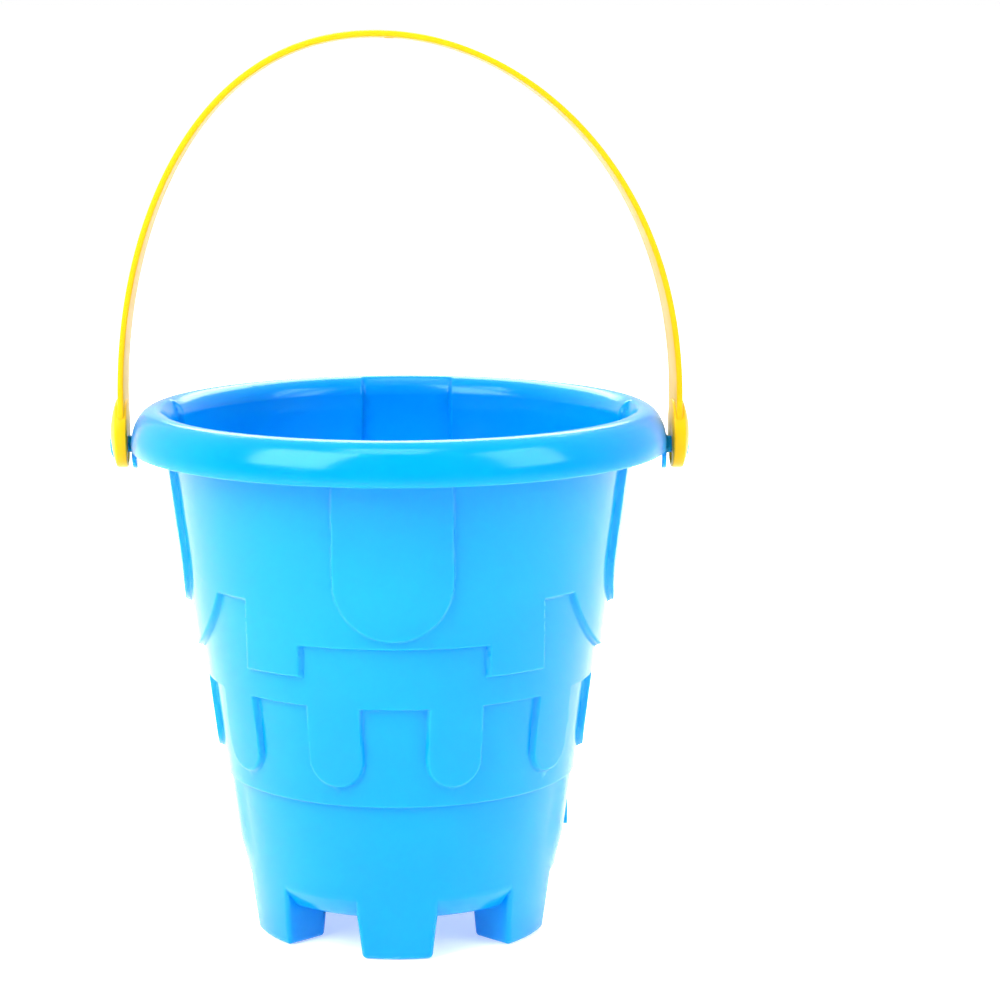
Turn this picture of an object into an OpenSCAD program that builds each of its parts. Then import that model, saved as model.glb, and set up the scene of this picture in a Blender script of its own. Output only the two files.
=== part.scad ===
// Castle sand bucket: a tiered tub that stands on six hollow tower feet, with a strap bail that swings
// on two headed pins under the rim. The origin is on the ground, on the tub's axis. +Z is up, the pins
// lie along X, and -Y is the front.

/* [Tub] */
// Outer radius of the wall's lowest level, extended down to the ground
ground_r = 60.5; // [55:0.5:66]
// Growth of the wall's radius for each millimetre of height
wall_draft = 0.125; // [0.1:0.005:0.14]
// Thickness of the wall, the base and the feet
skin_t = 2; // [1.6:0.1:2.2]
// Step from one relief level to the next
level_step = 2.4; // [2:0.1:2.5]

/* [Rim] */
// Largest radius of the rolled rim
rim_r = 108; // [107.5:0.1:109]
// Height of the rim's crest
crest_z = 213.4; // [212:0.2:216]
// Thickness of the rolled rim
lip_t = 2.2; // [1.8:0.1:2.4]

/* [Base and feet] */
// Height of the underside of the base plate
base_z = 16.5; // [14:0.5:18]
// Half of the angle that one foot covers
foot_half_angle = 15; // [10:0.5:16]
// Radius at the inner face of a foot
foot_inner_r = 39.4; // [34:0.2:44]

/* [Pivots] */
// Height of the pivot axis
pivot_z = 197.7; // [196:0.1:200]
// Radius of the pivot pins
pin_r = 3.35; // [2.8:0.05:3.5]
// Radius of the pin heads
head_r = 5.65; // [5:0.05:6]

/* [Handle] */
// Height of the top of the bail
bail_top_z = 363.2; // [340:0.2:380]
// Half of the bail's outside width
bail_half_w = 114.2; // [114:0.1:116]
// Thickness of the strap
strap_t = 2.7; // [2.2:0.1:3.2]
// Width of the strap, front to back
strap_w = 24; // [16:1:27]
// Radius of the eye discs
eye_r = 13.9; // [13:0.1:15]
// Gap round a pin in its slot
pin_gap = 0.08; // [0.02:0.01:0.1]

/* [Hidden] */
$fn = 96;

tub_color = "deepskyblue";
handle_color = "gold";
over = 1;            // how far a cutting shape runs past what it cuts
far = 140;           // farther out than any part of the tub

// The wall: heights of the relief's lower edges
rim_join_z = 197;    // the wall's top, where the rim starts
tier3_z = 64.8;
tier2_window_z = 105.5;
tier2_lobe_z = 73;
tier2_lobe_count = 10;
tier2_lobe_half_w = 11.2;
tier1_notch_z = 146;
tier1_front_z = 130.2;
tier1_tab_z = 117.5;
tier1_front_half_w = 36.7;
tier1_tab_half_w = 58.5;
side_lobe_z = 116;
side_lobe_half_w = 57;
tongue_z = 133.8;
tongue_half_w = 23.6;
pocket_inset = 3.4;  // how far the pocket behind a tongue stays inside its outline
pocket_skin_t = 0.6; // the plain wall left behind a tongue
apron_z = 29;        // the low, flat lobes on the two sides
apron_half_w = 26;
apron_corner_r = 14;
apron_level = 0.55;  // in relief levels

// The base's rounded bottom edge and the feet under it
foot_count = 6;
turn_z = 25;         // where the wall turns in towards the base
base_r = 56;         // where the wall's bottom ring meets the base plate
floor_r = 58;        // the edge of the flat floor inside

// A small stacking stop on each side
stop_t = 2;
stop_low_z = 36;
stop_bevel_z = 46;
stop_high_z = 52;
stop_r = 69.6;
stop_angle = 100;    // from the front

// The rim's section: a convex outer face and a rounded inner edge
crest_r = 98.5;
rim_face_z = 198.5;  // where the outer face is widest
rim_low_z = 196.8;   // the lip's lower edge
rim_inner_z = 205;
arc_steps = 16;

// The pivots, as distances from the tub's middle plane
ear_in_x = 105.9;
ear_out_x = 107.8;
ear_half_w = 6.5;
ear_low_z = 187.8;
pin_root_x = 106.8;
head_in_x = 114.1;
head_side_x = 115.8;
head_out_x = 117.2;

// The handle's eyes
eye_in_x = bail_half_w - strap_t;
eye_out_x = 116.8;
eye_z = 202.2;
eye_web_t = 2.3;
slot_r = pin_r + pin_gap;
slot_drop = 4.4;     // how far the slot runs below the pin
recess_r = head_r + 0.4;
eye_join_z = eye_z + sqrt(pow(eye_r, 2) - pow(strap_w / 2, 2));
bail_squareness = 2.15;
bail_spring_z = 215.6;
bail_steps = 48;

function level_r(level, z) = ground_r + level * level_step + wall_draft * z;

// A solid of revolution under one relief level's surface, between two heights
module level_cone(level, inset, low, high) {
    translate([0, 0, low])
        cylinder(r1 = level_r(level, low) - inset, r2 = level_r(level, high) - inset, h = high - low);
}

// A slab with rounded lower corners that reaches out from the axis in one direction
module radial_slab(angle, half_w, low, high, corner_r) {
    rotate([0, 0, angle]) rotate([90, 0, 0]) linear_extrude(far) union() {
        translate([-half_w, low + corner_r]) square([2 * half_w, high - low - corner_r]);
        translate([-half_w + corner_r, low]) square([2 * (half_w - corner_r), high - low]);
        for (side = [-1, 1]) translate([side * (half_w - corner_r), low + corner_r]) circle(corner_r);
    }
}

// The same with a fully round end
module round_slab(angle, half_w, low, high) {
    rotate([0, 0, angle]) rotate([90, 0, 0]) linear_extrude(far) union() {
        translate([-half_w, low + half_w]) square([2 * half_w, high - low - half_w]);
        translate([0, low + half_w]) circle(half_w);
    }
}

// The shell between one relief level's surface and the level below it
module level_shell(level, below, low, high) {
    difference() {
        level_cone(level, 0, low, high);
        level_cone(below, 0, low - over, high + over);
    }
}

// Heights where the levels that go all the way round start, and where the top one ends
function ring_starts() = [turn_z, tier3_z, tier2_window_z, tier1_notch_z, rim_join_z];

// The space that one foot takes up below the base plate's top
module foot_block(inset, low, high) {
    half = foot_half_angle;
    near = foot_inner_r + inset;
    side = inset / cos(half);
    intersection() {
        level_cone(0, inset, low, high);
        translate([0, 0, low]) linear_extrude(high - low) polygon([
            [near * tan(half) - side, -near], [far * tan(half) - side, -far],
            [-far * tan(half) + side, -far], [-near * tan(half) + side, -near]]);
    }
}

module each_foot() {
    for (i = [0 : foot_count - 1]) rotate([0, 0, i * 360 / foot_count]) children();
}

// One plain ring of the wall. Inside, its step is as much higher as the wall is thick.
module wall_ring(level) {
    low = ring_starts()[level];
    high = ring_starts()[level + 1];
    bend = low + skin_t;
    rotate_extrude() polygon([
        [level_r(level, low), low], [level_r(level, high), high], [level_r(level, high) - skin_t, high],
        [level_r(level, bend) - skin_t, bend], [level_r(level - 1, bend) - skin_t, bend],
        [level_r(level - 1, low) - skin_t, low]]);
}

// The lowest ring, from the base's rounded edge up, with room for the feet
module base_wall() {
    plate_top = base_z + skin_t;
    color(tub_color) difference() {
        union() {
            rotate_extrude() polygon([
                [base_r, base_z], [ground_r - 2, base_z], [ground_r + 0.9, base_z + 2.6],
                [level_r(0, turn_z), turn_z], [level_r(0, tier3_z), tier3_z],
                [level_r(0, tier3_z) - skin_t, tier3_z], [level_r(0, turn_z) - skin_t, turn_z],
                [floor_r, plate_top], [base_r, plate_top]]);
            each_foot() intersection() {
                foot_block(0, plate_top, turn_z);
                rotate_extrude() translate([floor_r, plate_top]) square([far, turn_z - plate_top]);
            }
        }
        each_foot() foot_block(0, base_z - over, plate_top);
    }
}

module lower_wall() {
    color(tub_color) wall_ring(1);
}

// The two upper rings, with the pockets behind the tongues
module pocketed_ring(level) {
    color(tub_color) difference() {
        wall_ring(level);
        intersection() {
            level_cone(3, pocket_skin_t, tongue_z, rim_join_z + over);
            tongue_outlines(pocket_inset);
        }
    }
}

module middle_wall() {
    pocketed_ring(2);
}

module upper_wall() {
    pocketed_ring(3);
}

module tongue_outlines(inset) {
    for (angle = [0 : 90 : 270])
        round_slab(angle, tongue_half_w - inset, tongue_z + inset, rim_join_z + 2 * over);
}

// The raised relief, one node for each row of it, from the top down
module tongues() {
    color(tub_color) intersection() {
        level_shell(4, 3, tongue_z, rim_join_z);
        tongue_outlines(0);
    }
}

module battlements() {
    color(tub_color) {
        for (angle = [0, 180]) rotate([0, 0, angle]) intersection() {
            level_shell(3, 2, tier1_tab_z, tier1_notch_z);
            rotate([90, 0, 0]) linear_extrude(far) polygon([
                [-tier1_tab_half_w, tier1_tab_z], [-tier1_front_half_w, tier1_tab_z],
                [-tier1_front_half_w, tier1_front_z], [tier1_front_half_w, tier1_front_z],
                [tier1_front_half_w, tier1_tab_z], [tier1_tab_half_w, tier1_tab_z],
                [tier1_tab_half_w, tier1_notch_z + over], [-tier1_tab_half_w, tier1_notch_z + over]]);
        }
        for (angle = [90, 270]) rotate([0, 0, angle]) intersection() {
            level_shell(3, 2, side_lobe_z, tier1_notch_z);
            round_slab(0, side_lobe_half_w, side_lobe_z, side_lobe_z + side_lobe_half_w + over);
        }
    }
}

module lobes() {
    color(tub_color) for (i = [0 : tier2_lobe_count - 1])
        rotate([0, 0, (i + 0.5) * 360 / tier2_lobe_count]) intersection() {
            level_shell(2, 1, tier2_lobe_z, tier2_window_z);
            round_slab(0, tier2_lobe_half_w, tier2_lobe_z, tier2_window_z + over);
        }
}

// The two low lobes at the sides, each with its stacking stop
module aprons() {
    color(tub_color) {
        intersection() {
            level_shell(apron_level, 0, apron_z, tier3_z);
            for (angle = [90, 270])
                radial_slab(angle, apron_half_w, apron_z, tier3_z + over, apron_corner_r);
        }
        for (side = [-1, 1]) stacking_stop(side);
    }
}

// A thin fin beside the apron's middle, with a flat underside
module stacking_stop(side) {
    root = level_r(0, stop_low_z) + apron_level * level_step / 2;
    rotate([90, 0, side * stop_angle - 90]) translate([0, 0, -stop_t / 2]) linear_extrude(stop_t)
        polygon([[root, stop_low_z], [stop_r, stop_low_z], [stop_r, stop_bevel_z], [root + 1, stop_high_z]]);
}

// The rim's outline from the wall's inside over the crest and down to the lip, and back at lip_t inside it
function rim_outer(a) = [crest_r + (rim_r - crest_r) * cos(a), rim_face_z + (crest_z - rim_face_z) * sin(a)];
function rim_under(a) = [crest_r + (rim_r - lip_t - crest_r) * cos(a),
                         rim_face_z + (crest_z - lip_t - rim_face_z) * sin(a)];
function rim_inner(a, r) = [crest_r + (crest_r - r) * cos(a), rim_inner_z + (crest_z - rim_inner_z) * sin(a)];

// The rim's inner half, from the wall up to the crest
module rim_neck() {
    wall_in = level_r(3, rim_join_z) - skin_t;
    color(tub_color) rotate_extrude() polygon(concat(
        [[level_r(3, rim_join_z), rim_join_z], [wall_in, rim_join_z]],
        [for (i = [arc_steps : -1 : 0]) rim_inner(90 + 90 * i / arc_steps, wall_in + 0.6)],
        [rim_under(90)]));
}

// A part of the rim's outer half between two angles, which is hollow underneath, ahead of more points
module rim_roll(from, to, edge) {
    steps = arc_steps / 2;
    color(tub_color) rotate_extrude() polygon(concat(
        [for (i = [0 : steps]) rim_outer(from + (to - from) * i / steps)],
        edge,
        [for (i = [0 : steps]) rim_under(to + (from - to) * i / steps)]));
}

module rim_crest() {
    rim_roll(90, 45, []);
}

module rim_lip() {
    rim_roll(45, 0, [[rim_r - 0.2, rim_low_z], [rim_r - lip_t, rim_low_z]]);
}

module base_plate() {
    color(tub_color) difference() {
        translate([0, 0, base_z]) cylinder(r = base_r, h = skin_t);
        each_foot() foot_block(0, base_z - over, base_z + skin_t + over);
    }
}

// One hollow tower foot, open at the top into the tub
module foot(i) {
    color(tub_color) rotate([0, 0, (i - 1) * 360 / foot_count]) difference() {
        foot_block(0, 0, base_z + skin_t);
        foot_block(skin_t, skin_t, base_z + skin_t + over);
    }
}

// A disc on the ground with a straight side up to side_h and a domed top at top_h
module domed_disc(r, side_h, top_h) {
    dome_h = top_h - side_h;
    dome_r = (r * r + dome_h * dome_h) / (2 * dome_h);
    rotate_extrude() intersection() {
        translate([0, top_h - dome_r]) circle(dome_r);
        square([r, top_h]);
    }
}

// An ear under the lip, its pin and the pin's domed head. side is 1 on the right and -1 on the left.
module pivot(side) {
    color(tub_color) rotate([0, 0, side > 0 ? 0 : 180]) difference() {
        union() {
            translate([ear_in_x, 0, ear_low_z + ear_half_w]) rotate([0, 90, 0])
                cylinder(r = ear_half_w, h = ear_out_x - ear_in_x);
            translate([ear_in_x, -ear_half_w, ear_low_z + ear_half_w])
                cube([ear_out_x - ear_in_x, 2 * ear_half_w, rim_low_z - ear_low_z - ear_half_w]);
            translate([pin_root_x, 0, pivot_z]) rotate([0, 90, 0])
                cylinder(r = pin_r, h = head_in_x + over - pin_root_x);
            translate([head_in_x, 0, pivot_z]) rotate([0, 90, 0])
                domed_disc(head_r, head_side_x - head_in_x, head_out_x - head_in_x);
        }
        rim_lip();
    }
}

// The bail's outline, a slightly squared ellipse that stands on its springing line
function bail_point(a, grow) = [
    (bail_half_w + grow) * sign(cos(a)) * pow(abs(cos(a)), 2 / bail_squareness),
    bail_spring_z + (bail_top_z - bail_spring_z + grow) * pow(abs(sin(a)), 2 / bail_squareness)];

module bail_area(grow) {
    polygon(concat(
        [[bail_half_w + grow, eye_join_z]],
        [for (i = [0 : bail_steps]) bail_point(180 * i / bail_steps, grow)],
        [[-bail_half_w - grow, eye_join_z]]));
}

module handle_strap() {
    color(handle_color) rotate([90, 0, 0]) translate([0, 0, -strap_w / 2]) linear_extrude(strap_w)
        difference() {
            bail_area(0);
            bail_area(-strap_t);
            translate([-far, eye_join_z - over]) square([2 * far, over]);
        }
}

// A slotted hole along X with its round upper end on the pivot axis
module slot_cut(r, from, to) {
    for (drop = [0, slot_drop]) translate([from, 0, pivot_z - drop]) rotate([0, 90, 0])
        cylinder(r = r, h = to - from);
    translate([from, -r, pivot_z - slot_drop]) cube([to - from, 2 * r, slot_drop]);
}

// The round end of the bail: a disc with a slot for the pin and a recess for its head. The strap ends
// where the disc is as wide as it is, and the disc's domed outer face runs on over it.
module eye(side) {
    color(handle_color) rotate([0, 0, side > 0 ? 0 : 180]) difference() {
        translate([eye_in_x, 0, eye_z]) rotate([0, 90, 0])
            domed_disc(eye_r, bail_half_w - eye_in_x, eye_out_x - eye_in_x);
        translate([eye_in_x - over, -eye_r - over, eye_join_z])
            cube([strap_t + over, 2 * (eye_r + over), 2 * eye_r]);
        slot_cut(slot_r, eye_in_x - over, eye_out_x + over);
        slot_cut(recess_r, eye_in_x + eye_web_t, eye_out_x + over);
    }
}

base_wall();
lower_wall();
middle_wall();
upper_wall();
tongues();
battlements();
lobes();
aprons();
rim_neck();
rim_crest();
rim_lip();
base_plate();
for (i = [1 : 6]) foot(i);
pivot(-1);  // pivot_left
pivot(1);  // pivot_right
handle_strap();
eye(-1);  // handle_eye_left
eye(1);  // handle_eye_right
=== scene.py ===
"""Looks for the castle sand bucket: a blue tub on six tower feet and a yellow strap bail.

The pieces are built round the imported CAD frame. Shapes are worked out in millimetres and written to
the meshes in metres. Azimuths run from the front (-Y) towards +X.
"""
import math

import bmesh
import bpy
import numpy as np
from mathutils import Matrix, Vector


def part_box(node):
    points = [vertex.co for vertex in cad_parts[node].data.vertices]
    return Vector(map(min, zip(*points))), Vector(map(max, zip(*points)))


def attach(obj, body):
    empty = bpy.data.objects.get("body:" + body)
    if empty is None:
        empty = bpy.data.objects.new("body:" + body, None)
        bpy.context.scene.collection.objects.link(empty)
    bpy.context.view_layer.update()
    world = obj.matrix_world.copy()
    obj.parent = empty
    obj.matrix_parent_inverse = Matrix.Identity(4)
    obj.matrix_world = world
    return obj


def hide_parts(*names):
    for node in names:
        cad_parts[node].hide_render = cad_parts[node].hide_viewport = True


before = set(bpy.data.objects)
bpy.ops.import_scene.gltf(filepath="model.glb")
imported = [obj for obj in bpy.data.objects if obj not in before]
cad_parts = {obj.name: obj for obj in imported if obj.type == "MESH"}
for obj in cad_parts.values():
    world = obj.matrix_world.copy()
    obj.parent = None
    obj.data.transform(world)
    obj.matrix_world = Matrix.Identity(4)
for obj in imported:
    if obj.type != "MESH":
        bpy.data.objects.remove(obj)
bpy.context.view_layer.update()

MM = 0.001

# The tub's wall, as in the CAD: each relief level stands one step further out, on the same draft
GROUND_R, DRAFT, STEP, SKIN = 60.5, 0.125, 2.4, 2.0
TURN_Z, PLATE_LOW, PLATE_TOP = 25.0, 16.5, 18.5  # where the wall turns in, and the base's two faces

# The relief's outlines: the heights of their lower edges, and their half widths
TIER3_Z, WINDOW_Z, NOTCH_Z = 64.8, 105.5, 146.0
LOBE_Z, LOBE_HALF_W, LOBES = 73.0, 11.2, 10
FRONT_Z, TAB_Z, FRONT_HALF_W, TAB_HALF_W = 130.2, 117.5, 36.7, 58.5
SIDE_Z, SIDE_HALF_W = 116.0, 57.0
TONGUE_Z, TONGUE_HALF_W = 133.8, 23.6
APRON_Z, APRON_HALF_W, APRON_CORNER, APRON_LEVEL = 29.0, 26.0, 14.0, 0.55

# The stacking fins: how far round they are, their heights, and their distances from the axis
STOP_ANGLE, STOP_HALF_T = math.radians(100), 1.0
STOP_LOW, STOP_SLOPE, STOP_TOP = 36.0, 46.0, 52.0
STOP_ROOT_R, STOP_R, STOP_TOP_R = 65.4, 69.6, 67.2

# Where an outline counts
FAR_OUT = -1e3  # the distance inside an outline for places on the other side of the tub
FACING = 0.3  # the least cosine of the angle from an outline's middle where it still counts

# How wide the rounded edges of the relief steps are, and of the pockets behind the tongues
EDGE_W, APRON_EDGE_W, POCKET_EDGE_W = 1.0, 14.0, 2.0
POCKET_EXTRA = 1.0  # a pocket is inset by this many skins more than the other relief
RIM_GROOVE = 0.8  # the share of a pocket's depth that runs on into the rim

# The rim's section
RIM_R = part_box("rim_lip")[1].x / MM
CREST_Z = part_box("rim_crest")[1].z / MM
LIP_T, CREST_R = 2.2, 98.5
FACE_Z, LIP_Z = 198.5, 196.8  # where the outside starts to curve over, and the lip's lower edge
INNER_Z, NECK_R = 205.0, 90.925  # where the inner half of the rim starts
WALL_TOP = 206.0  # where the wall's outside meets the hollow under the rim
FLARE, FLARE_LOW, FLARE_H = 0.6, 190.0, 15.0  # the wall's inside widens by this much below the rim
OUTER_ROWS, INNER_ROWS = (0.55, 3.0), (0.8, 4.0)  # fine and coarse spacing of the wall's rows

# The feet
FEET = 6
BEND_W = 1.5  # how much of the flat base between two feet the rows of each bend take up
FOOT_HALF, FOOT_DRAFT = math.radians(15), math.radians(1.4)
FOOT_FACE, FACE_DRAFT = 39.4, 0.07
FOOT_EDGE_R, POCKET_EDGE_R = 1.9, 1.2  # the radius of a foot's edges, outside and inside

# The curve that turns the wall in between two feet: its middle and its end, outside and inside
CHAMFER = ((60.7, 19.7), (57.2, PLATE_LOW))
CHAMFER_INSIDE = ((59.2, 21.1), (56.0, PLATE_TOP))

# The pivots
PIVOT_Z, PIN_R = 197.7, 3.35
EAR_IN, EAR_OUT, EAR_HALF_W, EAR_LOW = 105.9, 107.8, 6.5, 187.8
EAR_ROOT = 1.5  # how far the ear reaches up into the lip
HEAD_IN, HEAD_R = 114.1, 5.65
HEAD_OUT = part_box("pivot_right")[1].x / MM

# The bail
BAIL_HALF_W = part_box("handle_strap")[1].x / MM
BAIL_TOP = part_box("handle_strap")[1].z / MM
STRAP_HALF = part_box("handle_strap")[1].y / MM
SPRING_Z, SQUARENESS = 215.6, 2.075  # where the arch starts, and the exponent of its superellipse
STRAP_T, STRAP_TAPER = 2.4, 0.8  # the strap's thickness at its front edge, and how much the back adds
STRAP_SETBACK = 1.1  # how far the strap stands inside the eyes' flat faces
STRAP_LOW, STRAP_EDGE_R, STRAP_ROWS = 206.5, 0.75, 241
TURN, LEAN, LEAN_POWER = math.radians(3), 9.0, 2.6  # how the bail hangs on its loose pins
EYE_R, EYE_Z, EYE_IN, EYE_FLOOR, EYE_DOME = 13.9, 202.2, 109.75, 113.8, 2.6
SLOT_R, SLOT_DROP, RECESS_R, RECESS_WALL = 3.43, 4.4, 6.05, 1.1
GATE_X = -2.6  # the moulding mark under the crown

MIDDLE = Vector((0, 0, 0.16))
CAMERA_DIP = 9.48  # how many degrees the camera looks down


# ---------------------------------------------------------------- meshes

def new_object(name, data):
    """A new object in the scene."""
    obj = bpy.data.objects.new(name, data)
    bpy.context.scene.collection.objects.link(obj)
    return obj


def from_bmesh(name, bm):
    mesh = bpy.data.meshes.new(name)
    bm.to_mesh(mesh)
    bm.free()
    return new_object(name, mesh)


def mesh_object(name, verts, faces, sharp=50):
    """A smooth-shaded object from points in millimetres. Edges above sharp degrees stay sharp."""
    mesh = bpy.data.meshes.new(name)
    mesh.from_pydata((np.asarray(verts, float) * MM).tolist(), [], faces)
    mesh.validate()
    mesh.shade_smooth()
    mesh.set_sharp_from_angle(angle=math.radians(sharp))
    return new_object(name, mesh)


def grid_faces(rows, cols, closed_rows=False):
    """Quads of a grid whose columns close into a ring."""
    i = np.arange(rows if closed_rows else rows - 1)[:, None]
    j = np.arange(cols)[None, :]
    up, right = (i + 1) % rows, (j + 1) % cols
    quads = np.stack([i * cols + j, i * cols + right, up * cols + right, up * cols + j], -1)
    return quads.reshape(-1, 4).tolist()


def capped_faces(rows, cols):
    """The same, closed at both ends by the last two points: the first row's pole and the last row's."""
    faces = grid_faces(rows, cols)
    last, poles = (rows - 1) * cols, rows * cols
    for j in range(cols):
        k = (j + 1) % cols
        faces.append([poles, k, j])
        faces.append([poles + 1, last + j, last + k])
    return faces


def flipped(faces):
    return [face[::-1] for face in faces]


def join(name, objects):
    """One object out of several."""
    bm = bmesh.new()
    for o in objects:
        bm.from_mesh(o.data)
        bpy.data.objects.remove(o)
    return from_bmesh(name, bm)


def smooth(t):
    t = np.clip(t, 0, 1)
    return t * t * (3 - 2 * t)


# ---------------------------------------------------------------- the tub

def level_r(level, z):
    return GROUND_R + level * STEP + DRAFT * z


def union(a, b):
    """Distance inside the union of two outlines, rounded where both edges meet."""
    return np.where((a > 0) & (b > 0), np.hypot(a, b), np.maximum(a, b))


def slab(phi, z, angle, half_w, low, corner, level):
    """Distance inside an upright slab that stands out from the axis, with rounded lower corners."""
    turn = (phi - angle + math.pi) % (2 * math.pi) - math.pi
    x = level_r(level, z) * np.sin(turn)
    qx, qz = np.abs(x) - (half_w - corner), (low + corner) - z
    d = corner - np.hypot(np.maximum(qx, 0), np.maximum(qz, 0)) - np.minimum(np.maximum(qx, qz), 0)
    return np.where(np.cos(turn) > FACING, d, FAR_OUT)


def battlements(phi, z):
    """The third level between the tongues: a band with two tabs at the front and the back, and a
    round lobe at each side."""
    x = np.abs(level_r(3, z) * np.sin(phi))
    outer = np.where(np.abs(np.cos(phi)) > FACING, TAB_HALF_W - x, FAR_OUT)
    band = np.minimum(outer, z - FRONT_Z)
    tab = np.minimum(np.minimum(outer, x - FRONT_HALF_W), z - TAB_Z)
    d = union(band, tab)
    for angle in (math.pi / 2, -math.pi / 2):
        d = union(d, slab(phi, z, angle, SIDE_HALF_W, SIDE_Z, SIDE_HALF_W, 3))
    return d


def relief(phi, z, inset):
    """The relief level of the wall, 0 to 4, at an azimuth and height. Inside, raised parts are inset."""
    def raised(d, width=EDGE_W):
        return smooth((d - inset) / width + 0.5)

    one = raised(z - TIER3_Z)
    lobes = np.full_like(phi * z, FAR_OUT)
    for i in range(LOBES):
        angle = (i + 0.5) * 2 * math.pi / LOBES
        lobes = np.maximum(lobes, slab(phi, z, angle, LOBE_HALF_W, LOBE_Z, LOBE_HALF_W, 2))
    two = raised(union(z - WINDOW_Z, lobes))
    three = raised(union(z - NOTCH_Z, battlements(phi, z)))
    four, low = 0, 0
    for i in range(4):
        tongue = slab(phi, z, i * math.pi / 2, TONGUE_HALF_W, TONGUE_Z, TONGUE_HALF_W, 4)
        width = EDGE_W if inset == 0 else POCKET_EDGE_W
        four = np.maximum(four, raised(tongue - inset * POCKET_EXTRA, width))
    for side in (1, -1):
        d = slab(phi, z, side * math.pi / 2, APRON_HALF_W, APRON_Z, APRON_CORNER, 1)
        low = np.maximum(low, raised(d - APRON_EDGE_W / 4, APRON_EDGE_W))
    return one + APRON_LEVEL * low * (1 - one) + two + three + four


def spaced(stops):
    """Heights through (height, spacing up to the next stop) pairs."""
    out = []
    for (a, gap), (b, _) in zip(stops, stops[1:]):
        out += list(np.linspace(a, b, max(1, round((b - a) / gap)), endpoint=False))
    return np.array(out + [stops[-1][0]])


def wall_heights(fine, coarse):
    """Rows of the wall, close together where the relief has curved or level edges."""
    return spaced([(TURN_Z, 1.6), (27, fine * 2), (46, coarse), (63.8, fine / 2), (68.5, coarse),
                   (72.2, fine), (85.5, coarse), (104.6, fine / 2), (109, coarse), (114.8, fine),
                   (158.5, coarse), (WALL_TOP, 0)])


COLS = 900
PERIOD = COLS // FEET
EDGE_COL, FILLET = 36, 5  # columns from a foot's middle to its edge, and in the edge's rounding
PHI = np.arange(COLS) * 2 * math.pi / COLS
FOOT_COL = (np.arange(COLS) + PERIOD // 2) % PERIOD - PERIOD // 2
FOOT_CENTRE = PHI - FOOT_COL * 2 * math.pi / COLS


def point_row(r, z, azimuth=PHI):
    """One row of points round the axis."""
    r, z = np.broadcast_to(r, COLS), np.broadcast_to(z, COLS)
    return np.stack([r * np.sin(azimuth), -r * np.cos(azimuth), z], -1)


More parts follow.
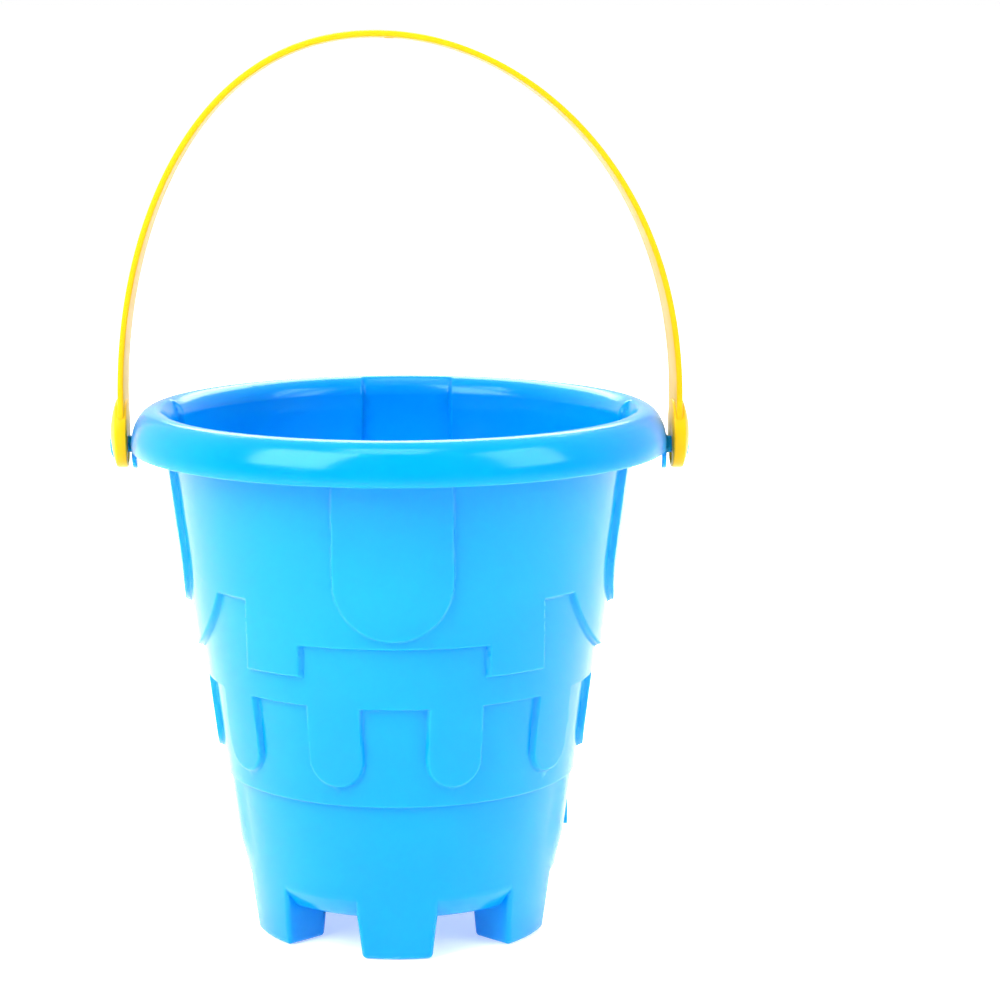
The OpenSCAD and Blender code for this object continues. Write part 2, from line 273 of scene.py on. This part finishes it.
def foot_rows(inset, plane_z, foot_z, rho, chamfer):
    """Rows from the wall's lower edge round the feet and the base between them, and in to the axis.

    With an inset they follow the inside of the same shape. plane_z is the height of the base and foot_z
    that of the feet's ends. rho is the radius of a foot's edges. chamfer is the middle and the end of the
    curve that turns the wall in between two feet.
    """
    n = np.abs(FOOT_COL)
    in_foot = n <= EDGE_COL
    turn = np.clip((EDGE_COL - n) / FILLET, 0, 1) * math.pi / 2
    pull, off = rho * (1 - np.sin(turn)), rho * (1 - np.cos(turn))
    uniform = n * 2 * math.pi / COLS
    gap_half = math.pi / FEET

    def azimuth(r, z, share):
        r = np.maximum(r, 5)  # near the axis the angles would grow without end
        edge = FOOT_HALF - FOOT_DRAFT * (plane_z - z) / plane_z - np.arcsin(inset / r)
        inside = np.where(n > EDGE_COL - FILLET, edge - off / r, (edge - rho / r) * n / (EDGE_COL - FILLET))
        outside = edge + (gap_half - edge) * (n - EDGE_COL - 1) / (PERIOD / 2 - EDGE_COL - 1)
        a = uniform + share * (np.where(in_foot, inside, outside) - uniform)
        return FOOT_CENTRE + np.sign(FOOT_COL) * a

    def row(foot_r, foot_zs, gap_r, gap_z, share=1.0):
        r, z = np.where(in_foot, foot_r, gap_r), np.where(in_foot, foot_zs, gap_z)
        return point_row(r, z, azimuth(r, z, share))

    def face_r(z):
        near = FOOT_FACE + inset + FACE_DRAFT * (plane_z - z)
        return near / np.cos(azimuth(near, z, 1.0) - FOOT_CENTRE)

    (mid_r, mid_z), (end_r, end_z) = chamfer
    start_r = level_r(0, TURN_Z) - inset
    low = foot_z + rho
    corner = level_r(0, low) - inset
    rows = []
    # The wall turns in between the feet, and the feet's upright edges form
    for t in (0.12, 0.25, 0.4, 0.55, 0.7, 0.85, 1.0):
        z = TURN_Z + (plane_z - TURN_Z) * t
        gap_r = (1 - t) ** 2 * start_r + 2 * t * (1 - t) * mid_r + t * t * end_r
        gap_z = (1 - t) ** 2 * TURN_Z + 2 * t * (1 - t) * mid_z + t * t * end_z
        rows.append(row(level_r(0, z) - inset - pull * smooth(t), z, gap_r, gap_z, smooth(t * 1.25)))
    # Down the feet's outer faces
    for t in (0.25, 0.5, 0.75, 1.0):
        z = plane_z + (low - plane_z) * t
        rows.append(row(level_r(0, z) - inset - pull, z, end_r - BEND_W * t, plane_z))
    # Round the outer edge of their ends, across the flat ends, and round the inner edge
    for t in np.linspace(0.2, 1, 5):
        a = t * math.pi / 2
        rows.append(row(corner - rho + (rho - pull) * math.cos(a), low - (rho - pull) * math.sin(a),
                        end_r - BEND_W * (1 + t), plane_z))
    near = face_r(foot_z)
    for t in np.linspace(1 / 6, 1, 6):
        rows.append(row(corner - rho + (near + rho - corner + rho) * t, foot_z + pull,
                        end_r - 2 * BEND_W + (near - end_r + 4 * BEND_W) * t, plane_z))
    for t in np.linspace(0.2, 1, 5):
        a = t * math.pi / 2
        rows.append(row(near + rho - (rho - pull) * math.sin(a), low - (rho - pull) * math.cos(a),
                        near + BEND_W * (2 - t), plane_z))
    # Up the inner faces, and along the base to the axis
    for t in (0.35, 0.7, 1.0):
        z = low + (plane_z - low) * t
        gap_r = near + BEND_W + (face_r(plane_z) - near - BEND_W) * t
        rows.append(row(face_r(z) + pull, z, gap_r, plane_z))
    for t, share in ((0.9, 0.7), (0.7, 0.3), (0.4, 0), (0.12, 0)):
        rows.append(row(FOOT_FACE * t, plane_z, FOOT_FACE * t, plane_z, share))
    return rows


def pocket_depth(z):
    """How far the pockets behind the tongues run on into the rim, all round, at a height near it."""
    return (relief(PHI, np.full(COLS, z), SKIN) - 3) * STEP * RIM_GROOVE


def rim_rows():
    """Rows under the lip, round its edge, over the crest and down to the wall's inside."""
    wall = level_r(relief(PHI, np.full(COLS, WALL_TOP), 0.0), WALL_TOP)
    rows = []
    under_z = CREST_Z - LIP_T
    # In the hollow: from the wall up to under the crest, then down the lip's inside
    for t in (0.25, 0.5, 0.75, 1.0):
        rows.append(point_row(
            (1 - t) ** 2 * wall + 2 * t * (1 - t) * (wall + 0.5) + t * t * CREST_R,
            (1 - t) ** 2 * WALL_TOP + 2 * t * (1 - t) * (under_z - 0.3) + t * t * under_z))
    for a in np.linspace(math.pi / 2, 0, 14)[1:]:
        rows.append(point_row(CREST_R + (RIM_R - LIP_T - CREST_R) * math.cos(a),
                              FACE_Z + (under_z - FACE_Z) * math.sin(a)))
    lip_edge = ((LIP_T, 0.8), (LIP_T - 0.25, 0.25), (LIP_T - 0.75, 0), (0.95, 0), (0.35, 0.2), (0.08, 0.7))
    for back, up in lip_edge:
        rows.append(point_row(RIM_R - back, LIP_Z + up))
    # Up the outside to the crest, and down the inside
    for a in np.linspace(0, math.pi / 2, 26):
        rows.append(point_row(CREST_R + (RIM_R - CREST_R) * math.cos(a),
                              FACE_Z + (CREST_Z - FACE_Z) * math.sin(a)))
    groove = pocket_depth(INNER_Z)
    for a in np.linspace(math.pi / 2, math.pi, 16)[1:]:
        deeper = groove * smooth(-math.cos(a) * 1.3 - 0.1)  # none at the crest, all of it at the wall
        rows.append(point_row(CREST_R + (CREST_R - NECK_R) * math.cos(a) + deeper,
                              INNER_Z + (CREST_Z - INNER_Z) * math.sin(a)))
    return rows


def tub_mesh():
    """The whole tub as one thin-walled moulding: two poles, and rows between them along its profile."""
    outside = foot_rows(0.0, PLATE_LOW, 0.0, FOOT_EDGE_R, CHAMFER)
    inside = foot_rows(SKIN, PLATE_TOP, SKIN, POCKET_EDGE_R, CHAMFER_INSIDE)
    rows = outside[::-1]
    for z in wall_heights(*OUTER_ROWS):
        rows.append(point_row(level_r(relief(PHI, np.full(COLS, z), 0.0), z), z))
    rows += rim_rows()
    inner = wall_heights(*INNER_ROWS)
    for z in inner[inner < INNER_Z - 1][::-1]:
        flare = FLARE * smooth((z - FLARE_LOW) / FLARE_H)
        rows.append(point_row(level_r(relief(PHI, np.full(COLS, z), SKIN), z) - SKIN - flare, z))
    rows += inside
    points = np.concatenate(rows + [np.array([[0, 0, PLATE_LOW], [0, 0, PLATE_TOP]])])
    return mesh_object("tub_shell", points, capped_faces(len(rows), COLS), sharp=62)


def extruded(name, outline, axis, low, high, bevel):
    """A flat plate between two places on an axis, with rounded edges, from an outline in the other two."""
    bm = bmesh.new()
    verts = []
    for a, b in outline:
        p = [a, b]
        p.insert(axis, low)
        verts.append(bm.verts.new(Vector(p) * MM))
    face = bm.faces.new(verts)
    grown = bmesh.ops.extrude_face_region(bm, geom=[face])["geom"]
    move = Vector((0, 0, 0))
    move[axis] = (high - low) * MM
    bmesh.ops.translate(bm, verts=[v for v in grown if isinstance(v, bmesh.types.BMVert)], vec=move)
    bmesh.ops.recalc_face_normals(bm, faces=bm.faces)
    edges = [e for e in bm.edges if e.calc_face_angle(0) > math.radians(40)]
    bmesh.ops.bevel(bm, geom=edges, offset=bevel * MM, segments=3, affect="EDGES", profile=0.5)
    obj = from_bmesh(name, bm)
    obj.data.shade_smooth()
    obj.data.set_sharp_from_angle(angle=math.radians(40))
    return obj


def lathe(name, profile, side, height, cols=64):
    """A turned shape along X, from (distance from the middle plane, radius) pairs. Both ends are closed."""
    rows = []
    a = np.arange(cols) * 2 * math.pi / cols * side
    for x, r in profile[1:-1]:
        rows.append(np.stack([np.full(cols, side * x), r * np.cos(a), height + r * np.sin(a)], -1))
    ends = [[side * profile[0][0], 0, height], [side * profile[-1][0], 0, height]]
    points = np.concatenate(rows + [np.array(ends)])
    return mesh_object(name, points, capped_faces(len(rows), cols), sharp=40)


def stacking_stop(side):
    """The thin fin beside the apron's middle, with a flat underside."""
    outline = [(STOP_ROOT_R, STOP_LOW), (STOP_R, STOP_LOW), (STOP_R, STOP_SLOPE), (STOP_TOP_R, STOP_TOP),
               (STOP_ROOT_R, STOP_TOP)]
    obj = extruded("stop", outline, 1, -STOP_HALF_T, STOP_HALF_T, 0.35)
    obj.data.transform(Matrix.Rotation(side * STOP_ANGLE - math.pi / 2, 4, "Z"))
    return obj


def pivot(side):
    """An ear under the lip, its pin and the pin's domed head."""
    centre = EAR_LOW + EAR_HALF_W
    outline = [(-EAR_HALF_W, LIP_Z + EAR_ROOT)]
    for a in np.linspace(math.pi, 2 * math.pi, 19):
        outline.append((EAR_HALF_W * math.cos(a), centre + EAR_HALF_W * math.sin(a)))
    outline.append((EAR_HALF_W, LIP_Z + EAR_ROOT))
    low, high = sorted((side * (EAR_IN + 0.05), side * EAR_OUT))
    ear = extruded("ear", outline, 0, low, high, 0.45)
    dome = HEAD_IN + 1.3
    profile = [(EAR_IN + 1, 0), (EAR_IN + 1, 4.4), (EAR_OUT, 4.3), (EAR_OUT + 0.15, 3.85),
               (EAR_OUT + 0.5, 3.5), (EAR_OUT + 0.95, PIN_R), (HEAD_IN, PIN_R),
               (HEAD_IN + 0.02, HEAD_R - 0.35), (HEAD_IN + 0.12, HEAD_R - 0.1), (HEAD_IN + 0.4, HEAD_R),
               (dome, HEAD_R)]
    for a in np.linspace(0.15, math.pi / 2, 10)[:-1]:
        profile.append((dome + (HEAD_OUT - dome) * math.sin(a), HEAD_R * math.cos(a)))
    profile.append((HEAD_OUT, 0))
    pin = lathe("pin", profile, side, PIVOT_Z)
    return join("pivot_%s_piece" % ("right" if side > 0 else "left"), [ear, pin])


# ---------------------------------------------------------------- the handle

def bail_line():
    """The bail's outside line in the XZ plane, from the right eye over the crown to the left eye."""
    a = np.linspace(0, math.pi, 4001)
    half = BAIL_HALF_W - STRAP_SETBACK
    x = half * np.sign(np.cos(a)) * np.abs(np.cos(a)) ** (2 / SQUARENESS)
    z = SPRING_Z + (BAIL_TOP - SPRING_Z) * np.abs(np.sin(a)) ** (2 / SQUARENESS)
    x = np.concatenate([[half], x, [-half]])
    z = np.concatenate([[STRAP_LOW], z, [STRAP_LOW]])
    length = np.concatenate([[0], np.cumsum(np.hypot(np.diff(x), np.diff(z)))])
    s = np.linspace(0, length[-1], STRAP_ROWS)
    return np.interp(s, length, x), np.interp(s, length, z)


def strap_section():
    """The strap's section as (depth in from the outside, y): a rounded slab, thicker at the back."""
    r, out = STRAP_EDGE_R, []
    for cy, top, start in ((STRAP_HALF - r, False, 0), (STRAP_HALF - r, True, 1),
                           (-STRAP_HALF + r, True, 2), (-STRAP_HALF + r, False, 3)):
        thick = STRAP_T + STRAP_TAPER * (cy + STRAP_HALF) / (2 * STRAP_HALF)
        cd = thick - r if top else r
        for a in np.linspace(start, start + 1, 5) * math.pi / 2 - math.pi / 2:
            out.append((cd + r * math.sin(a), cy + r * math.cos(a)))
    return out


def settle(points):
    """How the bail hangs on its loose pins: its legs turned about the upright, its crown to the left."""
    points = points.copy()
    high = np.clip((points[:, 2] - SPRING_Z) / (BAIL_TOP - SPRING_Z), 0, 1)
    points[:, 0] -= math.tan(TURN) * points[:, 1] + LEAN * high ** LEAN_POWER
    return points


def strap():
    x, z = bail_line()
    tx, tz = np.gradient(x), np.gradient(z)
    size = np.hypot(tx, tz)
    nx, nz = tz / size, -tx / size
    section = strap_section()
    cols = len(section)
    points = []
    for px, pz, ax, az in zip(x, z, nx, nz):
        points += [(px - ax * d, y, pz - az * d) for d, y in section]
    rows = len(x)
    faces = grid_faces(rows, cols)
    faces.append(list(range(cols))[::-1])
    faces.append([(rows - 1) * cols + j for j in range(cols)])
    return mesh_object("strap", settle(np.array(points)), faces, sharp=40)


def slot_edge(r, a):
    """Distance from the slot's middle to the edge of an upright slot with ends of radius r, at angles a."""
    half = SLOT_DROP / 2
    c, s = np.cos(a), np.abs(np.sin(a))
    side = r / np.maximum(np.abs(c), 1e-6)
    end = half * s + np.sqrt(np.maximum(r * r - (half * c) ** 2, 0))
    return np.where(side * s <= half, side, end)


def eye(side):
    """The round end of the bail, with a domed outer face, a slot for the pin and a recess for its head."""
    cols = 96
    a = np.arange(cols) * 2 * math.pi / cols
    mid = PIVOT_Z - SLOT_DROP / 2

    def disc_edge(r):
        up = EYE_Z - mid
        return up * np.sin(a) + np.sqrt(np.maximum(r * r - (up * np.cos(a)) ** 2, 0))

    ball = (EYE_R ** 2 + EYE_DOME ** 2) / (2 * EYE_DOME)

    def dome(dist):
        y, z = dist * np.cos(a), mid + dist * np.sin(a)
        away = np.hypot(y, z - EYE_Z)
        return BAIL_HALF_W + EYE_DOME - ball + np.sqrt(ball ** 2 - np.minimum(away, EYE_R) ** 2)

    # Rings through the slot, over the recess's floor and wall, over the dome, and round to the inner face
    slot = slot_edge(SLOT_R, a)
    recess = np.minimum(slot_edge(RECESS_R, a), disc_edge(EYE_R) - RECESS_WALL)
    rings = [(slot + 0.35, EYE_IN), (slot + 0.08, EYE_IN + 0.08), (slot, EYE_IN + 0.35),
             (slot, EYE_FLOOR - 0.3), (slot + 0.08, EYE_FLOOR - 0.06), (slot + 0.2, EYE_FLOOR),
             (recess - 0.2, EYE_FLOOR), (recess - 0.08, EYE_FLOOR + 0.06), (recess, EYE_FLOOR + 0.3)]
    top = dome(recess)
    rings += [(recess, top - 0.4), (recess + 0.1, top - 0.12), (recess + 0.4, dome(recess + 0.4))]
    outer, near = disc_edge(EYE_R), disc_edge(EYE_R - 0.5)
    for t in (0.2, 0.4, 0.6, 0.8, 0.93):
        ring = recess + 0.4 + (near - recess - 0.4) * t
        rings.append((ring, dome(ring)))
    rings += [(near, dome(near) - 0.02), (disc_edge(EYE_R - 0.15), BAIL_HALF_W - 0.12),
              (outer, BAIL_HALF_W - 0.5), (outer, EYE_IN + 0.6),
              (disc_edge(EYE_R - 0.18), EYE_IN + 0.18), (disc_edge(EYE_R - 0.6), EYE_IN)]
    points = []
    for dist, x in rings:
        across = side * np.broadcast_to(x, cols)
        points.append(np.stack([across, dist * np.cos(a), mid + dist * np.sin(a)], -1))
    faces = grid_faces(len(rings), cols, closed_rows=True)
    if side > 0:
        faces = flipped(faces)
    return mesh_object("eye", settle(np.concatenate(points)), faces)


def gate_mark():
    """The low bump under the crown where the moulding was fed."""
    cols, rows, top = 40, [], BAIL_TOP - STRAP_T + 0.6
    a = np.arange(cols) * 2 * math.pi / cols
    for r, down in ((3.2, -0.4), (3.1, 0.9), (2.9, 1.25), (2.5, 1.4), (1.2, 1.5)):
        rows.append(np.stack([GATE_X + r * np.cos(a), r * np.sin(a), np.full(cols, top - down)], -1))
    points = np.concatenate(rows + [np.array([[GATE_X, 0, top + 0.4], [GATE_X, 0, top - 1.5]])])
    return mesh_object("gate", points, flipped(capped_faces(len(rows), cols)), sharp=40)


# ---------------------------------------------------------------- materials

def link(tree, a, b):
    tree.links.new(a, b)


def node(tree, kind, **values):
    """A new node. A value named in_Scale goes to the input "Scale", and any other to a setting."""
    made = tree.nodes.new(kind)
    for name, value in values.items():
        if name.startswith("in_"):
            made.inputs[name[3:].replace("_", " ")].default_value = value
        else:
            setattr(made, name, value)
    return made


def plastic(name, deep, bright, scuffed, rough, glow, shine, tint):
    """Glossy moulded plastic: slow colour drift, patchy gloss, fine orange peel, scuffs where it stands.

    deep and bright are the two ends of the colour drift, and tint colours the reflections.
    """
    mat = bpy.data.materials.new(name)
    mat.use_nodes = True
    tree = mat.node_tree
    shader = tree.nodes["Principled BSDF"]
    shader.inputs["IOR"].default_value = 1.5
    shader.inputs["Specular IOR Level"].default_value = shine
    shader.inputs["Specular Tint"].default_value = (*tint, 1)
    shader.inputs["Subsurface Weight"].default_value = glow
    shader.inputs["Subsurface Radius"].default_value = (0.6, 0.9, 1.0)
    shader.inputs["Subsurface Scale"].default_value = 0.006
    place = node(tree, "ShaderNodeTexCoord")
    drift = node(tree, "ShaderNodeTexNoise", in_Scale=14.0, in_Detail=3.0, in_Roughness=0.5)
    link(tree, place.outputs["Object"], drift.inputs["Vector"])
    ramp = node(tree, "ShaderNodeValToRGB")
    ramp.color_ramp.elements[0].position, ramp.color_ramp.elements[0].color = 0.32, (*deep, 1)
    ramp.color_ramp.elements[1].position, ramp.color_ramp.elements[1].color = 0.68, (*bright, 1)
    link(tree, drift.outputs["Fac"], ramp.inputs["Fac"])

    stretched = node(tree, "ShaderNodeMapping")
    stretched.inputs["Scale"].default_value = (1.0, 1.0, 5.0)
    link(tree, place.outputs["Object"], stretched.inputs["Vector"])
    scratches = node(tree, "ShaderNodeTexNoise", in_Scale=240.0, in_Detail=6.0, in_Roughness=0.7)
    link(tree, stretched.outputs["Vector"], scratches.inputs["Vector"])
    split = node(tree, "ShaderNodeSeparateXYZ")
    link(tree, place.outputs["Object"], split.inputs["Vector"])
    low = node(tree, "ShaderNodeMapRange", in_From_Max=0.0018, in_To_Min=1.0, in_To_Max=0.0)
    link(tree, split.outputs["Z"], low.inputs["Value"])
    marks = node(tree, "ShaderNodeMapRange", in_From_Min=0.5, in_From_Max=0.68, in_To_Max=0.6)
    link(tree, scratches.outputs["Fac"], marks.inputs["Value"])
    wear = node(tree, "ShaderNodeMath", operation="MULTIPLY")
    link(tree, low.outputs["Result"], wear.inputs[0])
    link(tree, marks.outputs["Result"], wear.inputs[1])
    colour = node(tree, "ShaderNodeMix", data_type="RGBA")
    colour.inputs["B"].default_value = (*scuffed, 1)
    link(tree, wear.outputs["Value"], colour.inputs["Factor"])
    link(tree, ramp.outputs["Color"], colour.inputs["A"])
    link(tree, colour.outputs["Result"], shader.inputs["Base Color"])

    bloom = node(tree, "ShaderNodeTexNoise", in_Scale=55.0, in_Detail=5.0, in_Roughness=0.6)
    link(tree, place.outputs["Object"], bloom.inputs["Vector"])
    dull = node(tree, "ShaderNodeMapRange", in_From_Min=0.3, in_From_Max=0.7,
                in_To_Min=rough - 0.05, in_To_Max=rough + 0.06)
    link(tree, bloom.outputs["Fac"], dull.inputs["Value"])
    worn = node(tree, "ShaderNodeMath", operation="MULTIPLY_ADD")
    worn.inputs[1].default_value = 0.35
    link(tree, wear.outputs["Value"], worn.inputs[0])
    link(tree, dull.outputs["Result"], worn.inputs[2])
    link(tree, worn.outputs["Value"], shader.inputs["Roughness"])

    peel = node(tree, "ShaderNodeTexNoise", in_Scale=620.0, in_Detail=2.0, in_Roughness=0.5)
    link(tree, place.outputs["Object"], peel.inputs["Vector"])
    fine = node(tree, "ShaderNodeBump", in_Strength=0.03, in_Distance=0.0003)
    link(tree, peel.outputs["Fac"], fine.inputs["Height"])
    sink = node(tree, "ShaderNodeTexNoise", in_Scale=26.0, in_Detail=1.0, in_Roughness=0.4)
    link(tree, place.outputs["Object"], sink.inputs["Vector"])
    slow = node(tree, "ShaderNodeBump", in_Strength=0.06, in_Distance=0.001)
    link(tree, sink.outputs["Fac"], slow.inputs["Height"])
    link(tree, fine.outputs["Normal"], slow.inputs["Normal"])
    link(tree, slow.outputs["Normal"], shader.inputs["Normal"])
    return mat


def floor_material():
    mat = bpy.data.materials.new("pale_floor")
    mat.use_nodes = True
    tree = mat.node_tree
    shader = tree.nodes["Principled BSDF"]
    shader.inputs["Roughness"].default_value = 0.6
    shader.inputs["Emission Color"].default_value = (1, 1, 1, 1)
    shader.inputs["Emission Strength"].default_value = 0.44
    place = node(tree, "ShaderNodeTexCoord")
    grain = node(tree, "ShaderNodeTexNoise", in_Scale=3.0, in_Detail=2.0)
    link(tree, place.outputs["Object"], grain.inputs["Vector"])
    ramp = node(tree, "ShaderNodeValToRGB")
    ramp.color_ramp.elements[0].color = (0.9, 0.9, 0.9, 1)
    ramp.color_ramp.elements[1].color = (0.93, 0.93, 0.93, 1)
    link(tree, grain.outputs["Fac"], ramp.inputs["Fac"])
    link(tree, ramp.outputs["Color"], shader.inputs["Base Color"])
    return mat


def finish_piece(obj, mat, body, slot, *nodes):
    obj.data.materials.clear()
    obj.data.materials.append(mat)
    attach(obj, body)
    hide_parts(*nodes)


# ---------------------------------------------------------------- build

camera_data = bpy.data.cameras.new("camera")
camera_data.lens, camera_data.sensor_width = 107.86, 36
camera = new_object("camera", camera_data)
camera.location = (0.0406, -1.2, 0.375)
camera.rotation_euler = (math.radians(90 - CAMERA_DIP), 0, 0)
bpy.context.scene.camera = camera

blue = plastic("blue_plastic", deep=(0.0, 0.262, 0.70), bright=(0.0, 0.292, 0.76),
               scuffed=(0.25, 0.6, 0.85), rough=0.16, glow=0.6, shine=0.38, tint=(0.4, 0.88, 1.0))
yellow = plastic("yellow_plastic", deep=(0.68, 0.37, 0.004), bright=(0.74, 0.415, 0.006),
                 scuffed=(1.0, 0.8, 0.3), rough=0.36, glow=0.2, shine=0.15, tint=(1.0, 0.9, 0.5))

tub = join("tub_piece", [tub_mesh(), stacking_stop(1), stacking_stop(-1)])
finish_piece(tub, blue, "tub", "tub_plastic",
             "base_wall", "lower_wall", "middle_wall", "upper_wall", "tongues", "battlements", "lobes",
             "aprons", "rim_neck", "rim_crest", "rim_lip", "base_plate",
             *["foot_%d" % (i + 1) for i in range(FEET)])
for side, word in ((1, "right"), (-1, "left")):
    finish_piece(pivot(side), blue, "tub", "tub_plastic", "pivot_" + word)
handle = join("handle_piece", [strap(), eye(1), eye(-1), gate_mark()])
finish_piece(handle, yellow, "handle", "handle_plastic",
             "handle_strap", "handle_eye_left", "handle_eye_right")


def area_light(name, azimuth, elevation, distance, size, power):
    """A softbox aimed at the object's middle, at an azimuth and elevation in degrees."""
    a, e = math.radians(azimuth), math.radians(elevation)
    away = distance * Vector((math.sin(a) * math.cos(e), -math.cos(a) * math.cos(e), math.sin(e)))
    data = bpy.data.lights.new(name, "AREA")
    data.shape, data.energy = "RECTANGLE", power
    data.size, data.size_y = size
    light = new_object(name, data)
    light.location = MIDDLE + away
    light.rotation_euler = (-away).to_track_quat("-Z", "Y").to_euler()


area_light("softbox_left", -46, 37, 1.7, (1.0, 1.2), 38)
area_light("softbox_right", 61, 32, 1.7, (0.8, 1.15), 18)
area_light("top_front", -8, 68, 1.7, (0.8, 0.6), 9)
area_light("back_fill", 180, 40, 2.2, (2.0, 1.2), 46)


def studio_world():
    """White behind and above, and dimmer towards the front, like a room in front of a lit backdrop."""
    world = bpy.data.worlds.new("world")
    world.use_nodes = True
    tree = world.node_tree
    place = node(tree, "ShaderNodeTexCoord")
    split = node(tree, "ShaderNodeSeparateXYZ")
    link(tree, place.outputs["Generated"], split.inputs["Vector"])
    fade = node(tree, "ShaderNodeMapRange", interpolation_type="SMOOTHSTEP",
                in_From_Min=-0.5, in_From_Max=0.5, in_To_Min=0.15, in_To_Max=1.0)
    link(tree, split.outputs["Y"], fade.inputs["Value"])
    link(tree, fade.outputs["Result"], tree.nodes["Background"].inputs["Strength"])
    tree.nodes["Background"].inputs["Color"].default_value = (1, 1, 1, 1)
    return world


bpy.context.scene.view_settings.view_transform = "Standard"
bpy.context.scene.world = studio_world()

# The floor lies 0.2 mm below the feet, and is wide enough for its edge to be lost in the distance
bpy.ops.mesh.primitive_plane_add(size=400, location=(0, 0, -0.0002))
floor = bpy.context.object
floor.name = "floor"
floor.data.materials.append(floor_material())

bpy.context.view_layer.update()
